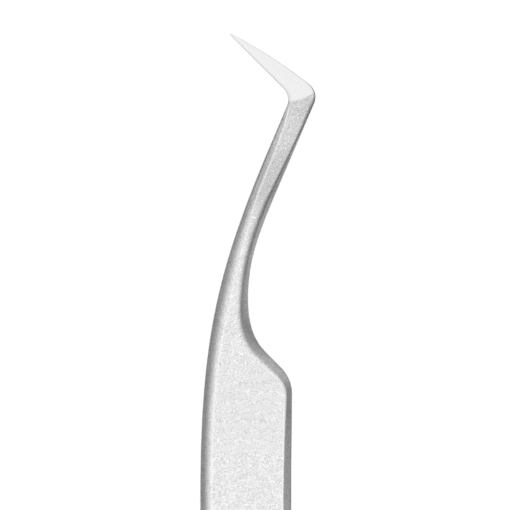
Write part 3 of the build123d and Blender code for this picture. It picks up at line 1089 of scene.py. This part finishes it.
def white_floor_material():
    """Floor that shows white to the eye and to reflections, and keeps a faint shadow."""
    material = bpy.data.materials.new("white_floor")
    material.use_nodes = True
    tree = material.node_tree
    tree.nodes.clear()
    path = place(tree, "ShaderNodeLightPath")
    seen = maths(tree, "MAXIMUM", path.outputs["Is Camera Ray"], path.outputs["Is Glossy Ray"])
    seen = maths(tree, "MAXIMUM", seen, path.outputs["Is Transmission Ray"])
    plain = place(tree, "ShaderNodeBsdfDiffuse", {"Color": FLOOR_COLOUR})
    shaded = place(tree, "ShaderNodeBsdfDiffuse", {"Color": FLOOR_SHADING})
    glow = place(tree, "ShaderNodeEmission", {"Color": WHITE, "Strength": FLOOR_GLOW})
    white = place(tree, "ShaderNodeAddShader", {0: glow.outputs[0], 1: shaded.outputs[0]})
    surface = place(tree, "ShaderNodeMixShader", {0: seen, 1: plain.outputs[0], 2: white.outputs[0]})
    place(tree, "ShaderNodeOutputMaterial", {"Surface": surface.outputs[0]})
    return material


def add_floor(studio):
    """A wide white table under the tweezers."""
    half = studio.floor_size / 2
    mesh = bpy.data.meshes.new("floor")
    corners = [(x * half, y * half, TABLE_Z) for x, y in ((-1, -1), (1, -1), (1, 1), (-1, 1))]
    mesh.from_pydata(corners, [], [(0, 1, 2, 3)])
    mesh.materials.append(white_floor_material())
    floor = bpy.data.objects.new("floor", mesh)
    bpy.context.scene.collection.objects.link(floor)


def add_dome(studio):
    """A soft white dome, bright overhead and dim towards the horizon. Past the floor the eye sees white."""
    world = bpy.data.worlds.new("soft_dome")
    world.use_nodes = True
    tree = world.node_tree
    way = place(tree, "ShaderNodeSeparateXYZ", {0: place(tree, "ShaderNodeTexCoord").outputs["Generated"]})
    height = maths(tree, "POWER", maths(tree, "MAXIMUM", way.outputs["Z"], 0.0), studio.dome_focus)
    level = maths(tree, "ADD", maths(tree, "MULTIPLY", height, studio.dome_top - studio.dome_rim),
                  studio.dome_rim)
    seen = place(tree, "ShaderNodeLightPath").outputs["Is Camera Ray"]
    level = place(tree, "ShaderNodeMix", {0: seen, 2: level, 3: 1.0}, data_type="FLOAT").outputs[0]
    tree.links.new(level, tree.nodes["Background"].inputs["Strength"])
    tree.nodes["Background"].inputs["Color"].default_value = WHITE
    bpy.context.scene.world = world


def add_camera(studio):
    """A camera straight above, far off and nearly without perspective."""
    lens = bpy.data.cameras.new("camera")
    lens.sensor_width = SENSOR
    lens.lens = lens.sensor_width * studio.view_distance / studio.view_width
    lens.clip_start, lens.clip_end = NEAR, FAR
    camera = bpy.data.objects.new("camera", lens)
    camera.location = (studio.view_x, TIP_Y - studio.view_behind, ARM_HIGH.z + studio.view_distance)
    bpy.context.scene.collection.objects.link(camera)
    bpy.context.scene.camera = camera


class AddStage(bpy.types.Operator):
    """Add the camera, the white floor and the soft dome of light"""
    bl_idname = "tweezers.add_stage"
    bl_label = "Stage"

    def execute(self, context):
        studio = context.scene.tweezer_studio
        add_camera(studio)
        add_floor(studio)
        add_dome(studio)
        context.scene.view_settings.view_transform = "Standard"
        return {"FINISHED"}


class TweezersPanel(bpy.types.Panel):
    """Builders and sizes of the tweezers."""
    bl_idname = "VIEW3D_PT_tweezers"
    bl_label = "Tweezers"
    bl_space_type = "VIEW_3D"
    bl_region_type = "UI"
    bl_category = "Tweezers"

    def draw(self, context):
        layout = self.layout
        for maker in MAKERS:
            layout.operator(maker.bl_idname)
        for title, group in (("Strip", context.scene.tweezer_strip), ("Finish", context.scene.tweezer_finish),
                             ("Studio", context.scene.tweezer_studio)):
            box = layout.box()
            box.label(text=title)
            for name in group.__annotations__:
                box.prop(group, name)


MAKERS = (AddStage, AddStrips, AddSpacer, AddWelds)
GROUPS = (("tweezer_strip", StripSizes), ("tweezer_finish", SteelFinish), ("tweezer_studio", StudioSettings))


def register():
    """Registers the sizes, the operators and the panel."""
    for name, group in GROUPS:
        bpy.utils.register_class(group)
        setattr(bpy.types.Scene, name, bpy.props.PointerProperty(type=group))
    for item in (*MAKERS, TweezersPanel):
        bpy.utils.register_class(item)


def unregister():
    """Takes them away again."""
    for item in (TweezersPanel, *reversed(MAKERS)):
        bpy.utils.unregister_class(item)
    for name, group in reversed(GROUPS):
        delattr(bpy.types.Scene, name)
        bpy.utils.unregister_class(group)


def main():
    """Builds the stage and every piece."""
    register()
    bpy.ops.tweezers.add_stage()
    bpy.ops.tweezers.add_strips()
    bpy.ops.tweezers.add_spacer()
    bpy.ops.tweezers.add_welds()


if __name__ == "__main__":
    main()
